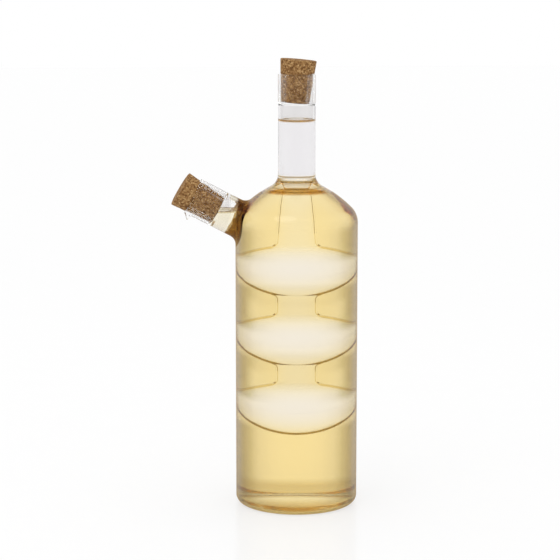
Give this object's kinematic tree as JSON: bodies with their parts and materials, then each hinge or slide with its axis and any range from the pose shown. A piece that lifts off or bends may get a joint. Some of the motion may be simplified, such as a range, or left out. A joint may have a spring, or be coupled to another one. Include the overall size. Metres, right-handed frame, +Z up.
{
  "type": "two-in-one oil and vinegar bottle",
  "caption": "Clear glass cruet with a straight oil-filled body, an inner vessel of stacked bulbs filled with vinegar through the neck, a slanted side spout and corks.",
  "frame": {"origin": "on the axis of the body and neck, in the plane the bottle stands on", "axes": "+Z up along body and neck, which is the longest extent; the spout points towards -X and rises; the XZ plane is a plane of symmetry"},
  "size_m": [0.1065, 0.07, 0.2573],
  "materials": {
    "glass": "clear, smooth, fire-polished",
    "oil": "clear pale golden liquid",
    "vinegar": "clear, almost colourless liquid",
    "cork": "agglomerated cork, matt"
  },
  "bodies": {
    "root": {"glass_bottle": "glass", "oil": "oil", "vinegar": "vinegar", "neck_cork": "cork", "spout_cork": "cork"}
  },
  "joints": []
}
